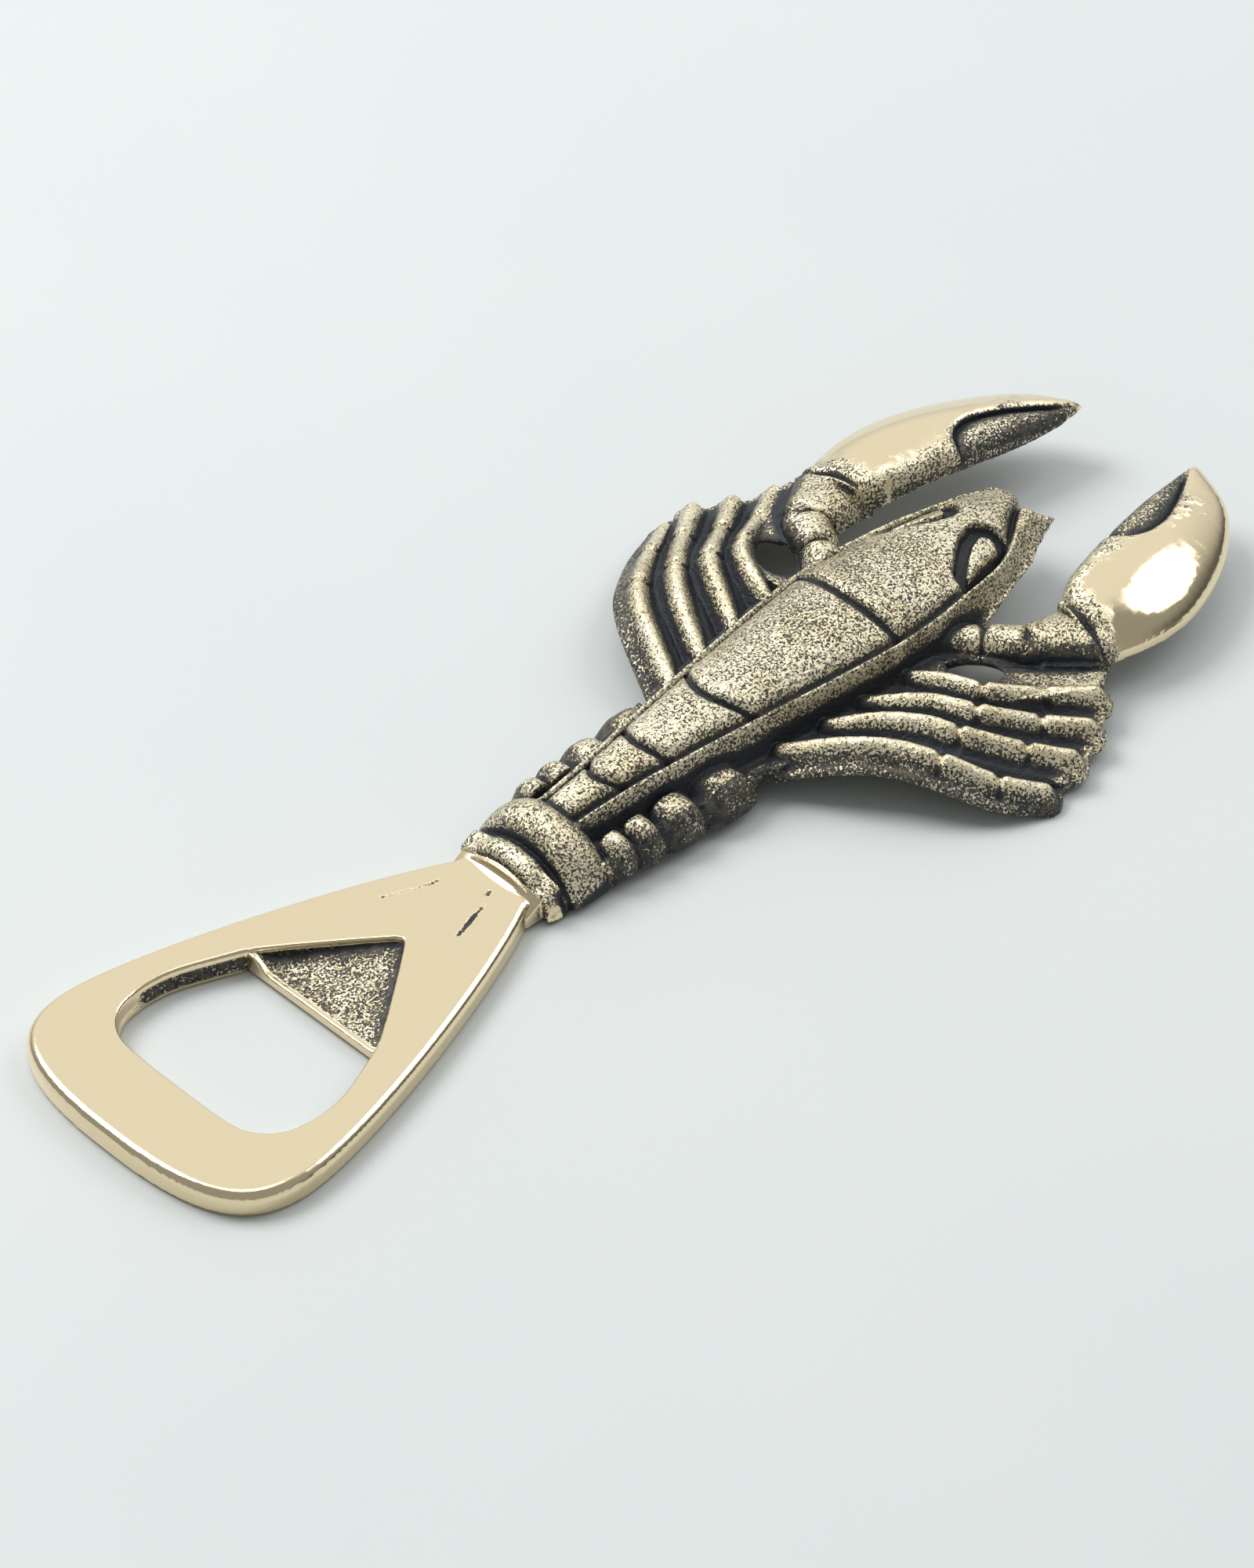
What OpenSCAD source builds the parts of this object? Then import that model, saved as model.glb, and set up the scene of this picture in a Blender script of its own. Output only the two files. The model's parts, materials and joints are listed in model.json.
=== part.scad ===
// Lobster-shaped bottle opener: a flat handle with a cap mouth and a lobster cast in relief.
// Millimetres. +X runs from the handle to the claw tips, +Z is up, and Z = 0 is the table.

/* [Opener plate] */
// Distance from the middle of the object to each end
half_length = 89.7; // [85:0.1:95]
// Thickness of the flat opener plate
plate_t = 3.5; // [2.5:0.1:5]
// Widest half width of the plate
plate_half_w = 21.7; // [19:0.1:24]
// Half width of the plate at the neck
neck_half_w = 6.3; // [5:0.1:8]

/* [Cap mouth] */
// Half width of the mouth at its wide end
mouth_half_w = 15.4; // [14:0.1:16.5]
// Half width of the mouth at the tooth
tooth_half_w = 11.5; // [10:0.1:13]
// Place of the tooth edge along the plate
tooth_x = -57.9; // [-60:0.1:-56]
// Place of the mouth's far edge along the plate
mouth_x = -78.6; // [-80:0.1:-77]
// Radius of the mouth's far corners
mouth_r = 5; // [3:0.5:6]
// Place of the recess tip along the plate
recess_x = -43.2; // [-48:0.1:-40]
// Thickness of the lifting tooth at its edge
tooth_t = 1.4; // [1:0.1:2]
// Height of the tooth's underside above the table
tooth_z = 0.3; // [0.1:0.1:0.8]

/* [Collars] */
// Height of the small neck collar
neck_collar_z = 6.7; // [5.5:0.1:8]
// Height of the large tail collar
tail_collar_z = 9.2; // [8:0.1:10.5]

/* [Body] */
// Height of the ledge that the shields, margins and legs stand on
ledge_z = 6; // [5:0.1:6.5]
// Height of the trunk's underside above the table
trunk_z = 2.4; // [1.5:0.1:3.5]
// Half width of the trunk at the tail
trunk_tail_w = 7.2; // [6.5:0.1:8]
// Half width of the trunk at the shoulders
trunk_shoulder_w = 11.2; // [10.5:0.1:12]
// Width of the convex margin beside the shields
margin_w = 2.2; // [1.6:0.1:2.6]

/* [Legs and claws] */
// Radius of a leg
leg_r = 2; // [1.6:0.1:2.2]
// Thickness of the web between the legs
web_t = 2; // [1.5:0.1:2.5]
// Radius of the arm at the body
arm_r = 3.4; // [3:0.1:3.8]
// Height of a claw's underside where it leaves the wrist
claw_under_z = 4.6; // [4:0.1:5.5]
// Height of a claw's crown
claw_top_z = 11.4; // [10:0.1:12.5]
// Radius across a claw's rounded top
claw_round_r = 13; // [11:0.5:20]

/* [Hidden] */

polished = [0.86, 0.76, 0.55];
antique = [0.62, 0.55, 0.40];
sliver = 0.02;
beyond = 40;

widest_x = -77.5;
mouth_side_x = -68;
mouth_far_inset = 0.6;
// Collars: where each starts and ends, height of its foot and its half width.
collar_x = [-28.6, -23.4, -16.6];
neck_foot_z = 0.4;
neck_collar_w = 8.6;
tail_foot_z = 0.8;
tail_collar_w = 9.4;
// Stations along the body where one plate ends and the next begins.
station = [-16.6, -9, -2.3, 10.6, 22, 33.4, 46, 56, 65.8];
tail_1 = 0;
tail_2 = 1;
tail_3 = 2;
thorax = 3;
head = 5;
nose_x = station[len(station) - 1];
// Half width of the shields, height of their edges and of their crest, by place along X.
shield_w = [[-16.6, 2.5], [-9, 3.1], [10.6, 6], [22, 7.7], [33.4, 9], [46, 8.8], [56, 7.4], [65.8, 4.2]];
edge_h = [[-16.6, 8], [-2.3, 9.4], [10.6, 10.1], [33.4, 10.8], [56, 11], [65.8, 10.6]];
crest_h = [[-16.6, 9.2], [-2.3, 11], [10.6, 12.4], [33.4, 14], [46, 14], [56, 13.4], [65.8, 11]];
// The arch of a shield starts a little below its edge.
arch_drop = 0.4;
// The head overhangs in front of the trunk.
head_z = 7.4;
trunk_x = 48;
head_margin = 0.7;
eye_place = [54.4, 4.2, 11.4];
eye_r = 2.6;
eye_low_z = 10.5;
// Prongs: inner side, height at the root, place of the rounded tip from the nose, and its radius.
prong_y = 0.6;
prong_h = 3;
prong_tip = [3.2, 3.6, 10];
prong_r = 0.8;

// Knobs: place along X, half width along the body, reach from the middle.
knob = [[-14.2, 2.2, 9.9], [-9.2, 2.3, 10.4], [-3.6, 2.8, 10.9], [4.6, 3.4, 11.4]];
// A knob's straight side ends this far below the ledge, and its dome is this high.
knob_drop = 0.8;
knob_dome = 1.6;

// Legs, the front one first: root, inner joint, outer joint and tip of each ridge line.
leg_line = [
    [[33, 11.6, 7.6], [37.8, 20.2, 8.6], [44.6, 25, 6.3], [50.2, 29.6, 5.7]],
    [[26.2, 11, 7.4], [32.8, 22.3, 8.8], [39.5, 27.7, 5.9], [45.5, 33, 5]],
    [[20, 10.4, 7.2], [28, 24.1, 8.5], [34, 30, 5.6], [40.6, 35, 4.3]],
    [[12.4, 9.8, 6.8], [22.5, 26.8, 8.2], [28.8, 32.2, 5], [34.4, 35.4, 4]]
];
// The web lies this far below the ridge lines, and never lower than its clearance above the table.
web_drop = 2.9;
web_clear = 0.4;
web_round_r = 0.9;

// Arm: the body end, the joint and the wrist end of its middle line, and how much slimmer it starts.
arm_line = [[40.6, 9.6, 6.2], [43.9, 13.8, 6.3], [47.4, 18.6, 6.4]];
arm_taper = [0.6, 0.4];
wrist_r = 3.2;
crease_r = 2.8;
crease = [[53.9, 17.6, 6.4], [53.6, 25.6, 5.2]];
// Outline of a claw from the crease round its outer edge to the tip and back along the inside.
claw_outline = [
    [54.2, 17.2], [53.9, 27.2], [60.4, 28.7], [68.2, 28], [75.2, 25.4],
    [82, 20.6], [86.8, 15.2], [half_length, 9.7], [84, 9.4], [76, 10.3], [66, 12.2], [59, 14.6]
];
// A claw's axis: a place on it, its turn inwards, and how steeply the underside rises to the tip.
claw_mid = [68, 20];
claw_heading = 19;
claw_rise = 4;
finger_outline = [[68.4, 8], [69.2, 15.6], [75, 17], [81, 15.5], [86.4, 11.6], [86.4, 4]];

// Cubic curve through four control points, as a list of points after the first.
function curve(a, b, c, d, n = 12) = [
    for (i = [1 : n]) let (t = i / n, s = 1 - t)
        s * s * s * a + 3 * s * s * t * b + 3 * s * t * t * c + t * t * t * d
];

function mirrored(points) = [for (i = [len(points) - 1 : -1 : 0]) [points[i][0], -points[i][1]]];

plate_side = concat(
    curve([-half_length, 0], [-half_length, 16], [-86.5, plate_half_w], [widest_x, plate_half_w]),
    curve([widest_x, plate_half_w], [-68, plate_half_w], [-40, 12.5], [collar_x[0], neck_half_w])
);

module plate_outline() {
    polygon(concat([[-half_length, 0]], plate_side, mirrored(plate_side)));
}

module mouth_outline() {
    far = mouth_x + mouth_r;
    near = tooth_x + sliver;
    hull() {
        for (side = [-1, 1]) {
            translate([far, side * (mouth_half_w - mouth_r - mouth_far_inset)]) circle(r = mouth_r, $fn = 48);
            translate([mouth_side_x, side * (mouth_half_w - mouth_r)]) circle(r = mouth_r, $fn = 48);
        }
        translate([near - 1, -tooth_half_w]) square([1, 2 * tooth_half_w]);
    }
}

module recess_outline() {
    polygon([[tooth_x, -tooth_half_w], [recess_x, 0], [tooth_x, tooth_half_w]]);
}

module opener_plate() {
    color(polished) difference() {
        linear_extrude(plate_t) plate_outline();
        translate([0, 0, -1]) linear_extrude(plate_t + 2) mouth_outline();
        translate([0, 0, -1]) linear_extrude(plate_t + 2) recess_outline();
    }
}

module cap_tooth() {
    color(antique) translate([0, 0, tooth_z]) linear_extrude(tooth_t) recess_outline();
}

// A bead around the X axis: round across, bulging along, cut off level at its foot.
module collar(x0, x1, top, foot, half_w) {
    rise = top - foot;
    r = (half_w * half_w + rise * rise) / (2 * rise);
    bulge = (x1 - x0) / 2;
    intersection() {
        translate([x0, 0, top - r]) rotate([0, 90, 0]) rotate_extrude($fn = 64) union() {
            square([r - bulge / 2, x1 - x0]);
            translate([r - bulge, bulge]) circle(r = bulge, $fn = 32);
        }
        translate([x0, -beyond, foot]) cube([x1 - x0, 2 * beyond, beyond]);
    }
}

module neck_collar() {
    color(antique) collar(collar_x[0], collar_x[1], neck_collar_z, neck_foot_z, neck_collar_w);
}

module tail_collar() {
    color(antique) collar(collar_x[1], collar_x[2], tail_collar_z, tail_foot_z, tail_collar_w);
}

trunk_side = [
    [collar_x[2], trunk_tail_w], [0, 7.8], [12, 9], [30, trunk_shoulder_w], [trunk_x, trunk_shoulder_w - 1]
];

module trunk_outline() {
    polygon(concat(trunk_side, mirrored(trunk_side)));
}

module trunk() {
    color(antique) translate([0, 0, trunk_z]) linear_extrude(ledge_z - trunk_z) trunk_outline();
}

// Thin arched section of the shields at one place along X.
module shield_section(x) {
    w = lookup(x, shield_w);
    edge = lookup(x, edge_h) - arch_drop;
    rise = lookup(x, crest_h) - edge;
    arch = [for (a = [-90 : 15 : 90]) [w * sin(a), edge + rise * cos(a)]];
    foot = x < trunk_x ? ledge_z : head_z;
    translate([x, 0, 0]) rotate([90, 0, 90]) linear_extrude(sliver)
        polygon(concat([[-w, foot]], arch, [[w, foot]]));
}

module shield(first, last) {
    for (i = [first : last - 1]) hull() {
        shield_section(station[i]);
        translate([-sliver, 0, 0]) shield_section(station[i + 1]);
    }
}

module tail_plate_1() { color(antique) shield(tail_1, tail_2); }
module tail_plate_2() { color(antique) shield(tail_2, tail_3); }
module tail_plate_3() { color(antique) shield(tail_3, thorax); }
module thorax_plate() { color(antique) shield(thorax, head); }
module head_shield() { color(antique) shield(head, len(station) - 1); }

// Thin section of the convex margin that runs beside the shields.
module margin_section(x) {
    w = lookup(x, shield_w);
    edge = lookup(x, edge_h);
    foot = x < trunk_x ? ledge_z : head_z;
    m = x < trunk_x ? margin_w : margin_w * head_margin;
    translate([x, 0, 0]) rotate([90, 0, 90]) linear_extrude(sliver) polygon([
        [w, foot], [w, edge - arch_drop], [w + 0.3 * m, edge],
        [w + 0.7 * m, edge - 0.6], [w + m, edge - 2.2], [w + m, foot]
    ]);
}

module margin() {
    color(antique) for (i = [0 : len(station) - 2]) hull() {
        margin_section(station[i]);
        translate([-sliver, 0, 0]) margin_section(station[i + 1]);
    }
}

module to_right() { mirror([0, 1, 0]) children(); }

module left_margin() { margin(); }
module right_margin() { to_right() margin(); }

module eye() {
    color(antique) difference() {
        translate(eye_place) sphere(r = eye_r, $fn = 32);
        shield(head, len(station) - 1);
        translate([eye_place[0] - beyond / 2, 0, 0]) cube([beyond, beyond, eye_low_z]);
    }
}

module left_eye() { eye(); }
module right_eye() { to_right() eye(); }

module prong() {
    w = lookup(nose_x, shield_w) + head_margin * margin_w;
    color(antique) hull() {
        translate([nose_x, prong_y, head_z]) cube([sliver, w - prong_y, prong_h]);
        translate([nose_x + prong_tip[0], prong_tip[1], prong_tip[2]]) sphere(r = prong_r, $fn = 24);
    }
}

module left_prong() { prong(); }
module right_prong() { to_right() prong(); }

module side_knob(n) {
    r = knob[n][1];
    side_h = ledge_z - trunk_z - knob_drop;
    color(antique) difference() {
        translate([knob[n][0], knob[n][2] - r, trunk_z]) {
            cylinder(r = r, h = side_h, $fn = 32);
            translate([0, 0, side_h]) intersection() {
                sphere(r = r, $fn = 32);
                translate([-r, -r, 0]) cube([2 * r, 2 * r, knob_dome]);
            }
        }
        linear_extrude(beyond) trunk_outline();
    }
}

module left_knob_1() { side_knob(0); }
module left_knob_2() { side_knob(1); }
module left_knob_3() { side_knob(2); }
module left_knob_4() { side_knob(3); }
module right_knob_1() { to_right() side_knob(0); }
module right_knob_2() { to_right() side_knob(1); }
module right_knob_3() { to_right() side_knob(2); }
module right_knob_4() { to_right() side_knob(3); }

module leg_joint(p) {
    translate([p[0], p[1], max(p[2] - leg_r, leg_r)]) sphere(r = leg_r, $fn = 16);
}

module leg_chain(n) {
    for (k = [0 : 2]) hull() {
        leg_joint(leg_line[n][k]);
        leg_joint(leg_line[n][k + 1]);
    }
}

module leg(n) {
    color(antique) difference() {
        leg_chain(n);
        linear_extrude(beyond) trunk_outline();
    }
}

// One bay of the web, between the same stretch of two neighbouring legs.
module web_bay(n, k) {
    hull() for (m = [n, n + 1], j = [k, k + 1]) let (p = leg_line[m][j])
        translate([p[0], p[1], max(p[2] - web_drop - web_t / 2, web_clear)])
            cylinder(r = web_round_r, h = web_t, $fn = 16);
}

module leg_web() {
    color(antique) difference() {
        for (n = [0 : 2], k = [0 : 2]) web_bay(n, k);
        for (n = [0 : 3]) leg_chain(n);
        linear_extrude(beyond) trunk_outline();
    }
}

module left_leg_web() { leg_web(); }
module right_leg_web() { to_right() leg_web(); }
module left_leg_1() { leg(0); }
module left_leg_2() { leg(1); }
module left_leg_3() { leg(2); }
module left_leg_4() { leg(3); }
module right_leg_1() { to_right() leg(0); }
module right_leg_2() { to_right() leg(1); }
module right_leg_3() { to_right() leg(2); }
module right_leg_4() { to_right() leg(3); }

module arm_ball(p, r) {
    translate(p) sphere(r = r, $fn = 24);
}

module upper_arm_shape() {
    hull() {
        arm_ball(arm_line[0], arm_r - arm_taper[0]);
        arm_ball(arm_line[1], arm_r - arm_taper[1]);
    }
}

module forearm_shape() {
    hull() {
        arm_ball(arm_line[1], arm_r);
        arm_ball(arm_line[2], arm_r);
    }
}

module wrist_shape() {
    hull() {
        arm_ball(arm_line[2], wrist_r);
        for (p = crease) arm_ball(p, crease_r);
    }
}

module upper_arm() {
    color(antique) difference() {
        upper_arm_shape();
        leg_chain(0);
        linear_extrude(beyond) trunk_outline();
    }
}

module forearm() {
    color(antique) difference() {
        forearm_shape();
        upper_arm_shape();
        leg_chain(0);
        linear_extrude(beyond) trunk_outline();
    }
}

module claw_outline_2d() {
    polygon(claw_outline);
}

module wrist() {
    color(antique) difference() {
        wrist_shape();
        forearm_shape();
        leg_chain(0);
        linear_extrude(beyond) claw_outline_2d();
    }
}

// The claw's outline as a solid, rounded across its axis, with an underside that rises to the tip.
module claw_shape() {
    difference() {
        intersection() {
            linear_extrude(beyond) claw_outline_2d();
            translate([claw_mid[0], claw_mid[1], claw_top_z - claw_round_r]) rotate([0, 90, -claw_heading])
                cylinder(r = claw_round_r, h = 2 * beyond, center = true, $fn = 96);
        }
        translate([claw_outline[0][0], 0, claw_under_z]) rotate([0, -claw_rise, 0])
            translate([-beyond / 2, 0, -beyond]) cube([2 * beyond, beyond, beyond]);
    }
}

module palm() {
    color(polished) difference() {
        claw_shape();
        linear_extrude(beyond) polygon(finger_outline);
    }
}

module finger() {
    color(antique) intersection() {
        claw_shape();
        linear_extrude(beyond) polygon(finger_outline);
    }
}

module left_upper_arm() { upper_arm(); }
module left_forearm() { forearm(); }
module left_wrist() { wrist(); }
module left_palm() { palm(); }
module left_finger() { finger(); }
module right_upper_arm() { to_right() upper_arm(); }
module right_forearm() { to_right() forearm(); }
module right_wrist() { to_right() wrist(); }
module right_palm() { to_right() palm(); }
module right_finger() { to_right() finger(); }

opener_plate();
cap_tooth();
neck_collar();
tail_collar();
trunk();
tail_plate_1();
tail_plate_2();
tail_plate_3();
thorax_plate();
head_shield();
left_margin();
right_margin();
left_eye();
right_eye();
left_prong();
right_prong();
left_knob_1();
left_knob_2();
left_knob_3();
left_knob_4();
right_knob_1();
right_knob_2();
right_knob_3();
right_knob_4();
left_leg_web();
right_leg_web();
left_leg_1();
left_leg_2();
left_leg_3();
left_leg_4();
right_leg_1();
right_leg_2();
right_leg_3();
right_leg_4();
left_upper_arm();
left_forearm();
left_wrist();
left_palm();
left_finger();
right_upper_arm();
right_forearm();
right_wrist();
right_palm();
right_finger();
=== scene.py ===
"""A cast brass lobster bottle opener: buffed handle and claws, antique patina in the relief.

The casting is worked out as a relief: a height map of its top and one of its underside, in
millimetres over the plan. Each piece is the part of the casting that lies in its own cell,
turned into a closed mesh on a fine voxel grid. Two values painted on its points, for patina
and for buffing, drive one brass material.
"""

import json
import math

import bpy
import numpy as np
import openvdb
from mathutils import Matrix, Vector


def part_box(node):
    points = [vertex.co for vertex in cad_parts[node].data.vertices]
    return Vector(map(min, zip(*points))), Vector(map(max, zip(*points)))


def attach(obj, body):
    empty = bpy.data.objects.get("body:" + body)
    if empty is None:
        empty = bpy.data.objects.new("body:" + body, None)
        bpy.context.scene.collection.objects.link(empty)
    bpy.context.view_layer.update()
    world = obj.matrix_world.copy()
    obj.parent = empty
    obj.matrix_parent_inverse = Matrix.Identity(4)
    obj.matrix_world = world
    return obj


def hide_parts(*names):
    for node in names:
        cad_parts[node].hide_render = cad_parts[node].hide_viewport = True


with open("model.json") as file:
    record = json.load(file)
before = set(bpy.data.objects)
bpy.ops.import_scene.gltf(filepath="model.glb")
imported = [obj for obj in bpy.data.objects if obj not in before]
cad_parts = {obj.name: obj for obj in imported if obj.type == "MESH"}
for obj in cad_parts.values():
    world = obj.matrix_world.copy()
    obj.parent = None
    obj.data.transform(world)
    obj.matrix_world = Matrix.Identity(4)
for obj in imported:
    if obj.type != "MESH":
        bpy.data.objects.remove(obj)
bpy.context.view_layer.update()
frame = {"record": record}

MM = 0.001
VOXEL = 0.2
# The maps are this many times finer than the voxels.
FINER = 2
CELL = VOXEL / FINER
COARSE = (slice(None, None, FINER), slice(None, None, FINER))

# ------------------------------------------------------------------ sizes, in mm
# The body lies along x, with its nose at +x; v is the distance from its middle, on either side.
# Most tables are stations along x, each with the half width (_W) or the height (_Z) there.
HALF_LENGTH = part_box("opener_plate")[0].x / -MM
PLATE_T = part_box("opener_plate")[1].z / MM
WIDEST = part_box("opener_plate")[1].y / MM
NECK_X, TAIL_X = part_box("neck_collar")[0].x / MM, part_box("tail_collar")[0].x / MM
BODY_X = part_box("tail_collar")[1].x / MM
NECK_HALF_W = 6.3
TOOTH_X, RECESS_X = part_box("cap_tooth")[0].x / MM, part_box("cap_tooth")[1].x / MM
TOOTH_HALF_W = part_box("cap_tooth")[1].y / MM
MOUTH_X = -78.6
# The shell's pieces lie above the trunk's top.
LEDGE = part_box("trunk")[1].z / MM

# Shell plates: where each ends at the shell's edge, and how far its end bows back on the crest.
PLATE_ENDS = ((-9.0, 2.2), (-2.3, 1.6), (10.6, 3.0), (33.6, 1.4))
EDGE_Z = ((-17, 8.0), (-2.3, 9.4), (10.6, 10.1), (33.4, 10.8), (56, 11.0), (66, 10.5), (70, 10.2))
CREST_Z = (
    (-17, 9.2), (-2.3, 11.0), (10.6, 12.4), (33.4, 14.0),
    (50, 14.0), (58, 13.2), (64, 11.6), (70, 10.6),
)
# The margin beside the shell: where it meets the channel, and the channel's floor.
FOOT_W = (
    (-17, 4.9), (-2.3, 6.5), (10.6, 8.4), (22, 10.0), (33, 11.3), (42, 11.1),
    (48.4, 10.4), (57.9, 8.0), (64.4, 6.4), (70, 5.0),
)
CHANNEL_Z = ((-17, 4.4), (10, 4.8), (34, 6.0), (48, 6.6), (60, 7.4), (70, 8.0))
SHELL_ARCH = 2.4
SHELL_GROOVE = 0.8
# The margin stands this far above the shell's edge, and this share of its width is level.
MARGIN_PROUD = 0.2
MARGIN_FLAT = 0.2
# The whole trunk: its outline back from the prongs, and its underside.
TRUNK_W = (
    (-17.6, 7.4), (-2.3, 7.7), (8, 10.0), (22, 11.6), (33, 12.8),
    (42, 12.2), (48.4, 10.8), (57.9, 8.0), (64.4, 6.4),
)
UNDER_Z = ((-17, 1.2), (8, 2.2), (20, 4.2), (40, 5.2), (52, 6.6), (70, 7.8))
# Where the prongs start and the head shield ends, and how the nose's rim is rounded.
PRONG_X = 60.5
NOSE_X = 66.6
NOSE_ROUND = 1.8
NOSE_LIFT = 0.6
# The outline of the shell, and of the prong at the nose. The casting's two sides differ a little.
SHIELD_W = {
    "left": (
        (-17.6, 2.5), (-9, 3.1), (-2.3, 4.1), (10.6, 6.0), (22, 7.6), (33, 8.9), (40, 8.8),
        (45, 8.1), (51, 7.4), (57, 6.3), (62.6, 5.3), (65.4, 4.2), (66.4, 2.2), (66.3, 0),
    ),
    "right": (
        (-17.6, 2.5), (-9, 3.1), (-2.3, 4.1), (10.6, 6.0), (22, 7.6), (33, 8.9), (40, 8.8),
        (45, 8.2), (52, 7.5), (56, 6.4), (60, 3.8), (63, 1.6), (66.0, 0),
    ),
}
PRONG = {
    "left": ((66.6, 6.1), (68.6, 4.9), (68.6, 3.2), (67.4, 1.6), (66.3, 0)),
    "right": ((66.8, 5.4), (70.2, 4.0), (68.8, 2.9), (67.0, 2.2), (66.0, 1.0), (65.9, 0)),
}

# Eye: centre line of the boss from its rear tip, with its half width.
EYE = ((48.4, 6.9, 0.2), (51.0, 5.7, 0.85), (53.0, 4.9, 1.2), (54.4, 4.6, 1.35))
# The moat around it, how far the boss is sunk, and where its piece starts above the ledge.
MOAT_W = 2.1
MOAT_DEPTH = 1.6
EYE_SINK = 0.5
EYE_ABOVE = 3

# Side knobs: place along the body, half width and reach from the middle.
KNOBS = ((-14.7, 2.0, 9.9), (-10.6, 2.2, 10.4), (-5.1, 3.3, 10.9), (2.4, 4.2, 11.4))
# Their height at the body and at the rim, and where they start beside it.
KNOB_Z = 6.6
KNOB_LOW = 2.4
KNOB_ROOT = 6.6
KNOB_START = 6.8
KNOB_ROUND = 2.2
KNOB_HOLLOW = 0.7
KNOB_LEAST_Z = 1.9
KNOB_UNDER_Z = 1.5

# Leg ridges, the front one first: x, y and z from the root over both joints to the tip.
LEGS = {
    "left": (
        (
            (31.4, 11.4, 6.6), (33.2, 17.1, 8.6), (34.9, 20.2, 8.8),
            (37.2, 21.8, 8.6), (43.4, 25.3, 6.4), (49.6, 28.4, 6.0),
        ),
        (
            (25.2, 12.0, 6.6), (27.7, 17.4, 8.6), (29.9, 20.8, 9.0),
            (31.7, 22.8, 8.9), (38.8, 27.4, 6.0), (44.8, 31.4, 5.4),
        ),
        (
            (17.8, 10.4, 6.4), (21.0, 17.0, 8.7), (24.8, 22.1, 8.9),
            (27.2, 24.3, 8.5), (34.3, 30.1, 5.9), (40.4, 34.4, 4.9),
        ),
        (
            (11.8, 9.8, 6.2), (15.2, 17.6, 8.9), (18.5, 22.6, 8.9),
            (21.4, 25.4, 8.4), (29.6, 31.3, 5.4), (35.8, 34.9, 3.6),
        ),
    ),
    "right": (
        (
            (32.4, 9.8, 6.8), (34.7, 14.9, 8.4), (35.7, 18.2, 8.7),
            (36.6, 20.4, 8.6), (43.5, 24.8, 6.4), (48.6, 28.6, 6.0),
        ),
        (
            (25.6, 10.4, 6.8), (29.8, 16.0, 8.6), (31.8, 20.7, 9.0),
            (32.8, 22.9, 8.9), (39.5, 27.8, 6.0), (43.8, 31.8, 5.4),
        ),
        (
            (19.4, 10.0, 6.6), (23.4, 14.9, 8.5), (26.7, 19.9, 9.0),
            (28.5, 23.8, 8.5), (34.4, 30.1, 5.9), (38.2, 33.9, 4.9),
        ),
        (
            (12.0, 8.8, 6.2), (16.6, 15.2, 8.6), (20.4, 20.0, 9.0),
            (23.2, 25.6, 8.5), (27.6, 31.6, 5.4), (32.2, 34.9, 3.6),
        ),
    ),
}
LEG_JOINTS = (3, 4)
LEG_ROOT_V = 9
# A leg's half width and depth, the valley beside its ridge, and the half width of its piece.
LEG_W = 3.2
LEG_DEPTH = 3.6
VALLEY_W = 2.8
VALLEY_DROP = 2.6
LEG_CORE = 2.0
# The web between two legs: how far it runs past their tips, and its thickness.
WEB_PAST_TIP = 1.7
WEB_T = 1.2

# Arm: centre line from the body over both joints to the claw, with its half width and top.
ARM = {
    "left": (
        (38.0, 8.2, 2.9, 8.2), (43.5, 14.4, 2.9, 8.9), (46.2, 19.6, 3.4, 9.2), (54.0, 22.0, 5.5, 8.9),
    ),
    "right": (
        (38.6, 6.8, 2.7, 8.0), (44.9, 12.9, 2.6, 8.5), (47.9, 17.7, 3.0, 9.1), (54.6, 21.0, 5.1, 9.0),
    ),
}
ARM_DEPTH = 4.6
ARM_ROUND = 3.0
# The oval hole between arm and first leg: centre, turn in degrees, long and short radius.
HOLE = {"left": (38.9, 17.8, 62.0, 3.5, 2.1), "right": (40.0, 16.1, 61.0, 2.9, 2.0)}
# The web that joins the arm to the first leg: outline, the valley along it and its height.
ARM_WEB = ((35, 9), (46, 15), (54.2, 22), (54.3, 26.0), (51.6, 28.0), (44, 26), (35, 20))
ARM_VALLEY = ((37.5, 9.5), (43.1, 17.2), (47.3, 21.7), (54.4, 27.6))
ARM_WEB_Z = ((35, 6.4), (44, 5.8), (54, 4.9))
ARM_WEB_T = 1.6

# Claw: the crease where the wrist ends, its outer and inner edge, then the top (_Z) and the
# underside (_LOW) at both edges, and the hump between them.
CREASE = {
    "left": ((54.6, 14.6), (53.9, 22.3), (52.9, 28.4)),
    "right": ((55.8, 14.6), (54.9, 19.4), (53.4, 26.6)),
}
CREASE_V = 13.0
CLAW_TIPS = {"left": (HALF_LENGTH, 9.8), "right": (HALF_LENGTH + 0.7, 9.5)}
CLAW_OUTER = {
    "left": (
        (53.0, 27.2), (60.4, 28.9), (68.2, 28.5), (75.2, 26.2), (82.0, 22.2), (87.2, 17.0),
        CLAW_TIPS["left"],
    ),
    "right": (
        (53.4, 25.4), (60.0, 27.8), (67.0, 28.2), (74.0, 26.4), (81.0, 23.0), (87.4, 17.6),
        CLAW_TIPS["right"],
    ),
}
CLAW_INNER = {
    "left": (
        (54.4, 16.6), (59.0, 14.7), (66.0, 12.6), (76.0, 10.4), (84.0, 9.3), CLAW_TIPS["left"],
    ),
    "right": (
        (55.5, 17.0), (58.0, 14.6), (65.5, 13.2), (73.1, 11.3), (83.8, 9.3), CLAW_TIPS["right"],
    ),
}
OUTER_Z = ((54, 6.6), (60, 7.0), (70, 7.0), (80, 7.2), (90, 8.8))
INNER_Z = ((54, 9.2), (60, 10.4), (66, 10.9), (76, 10.6), (84, 9.9), (90, 9.2))
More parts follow.
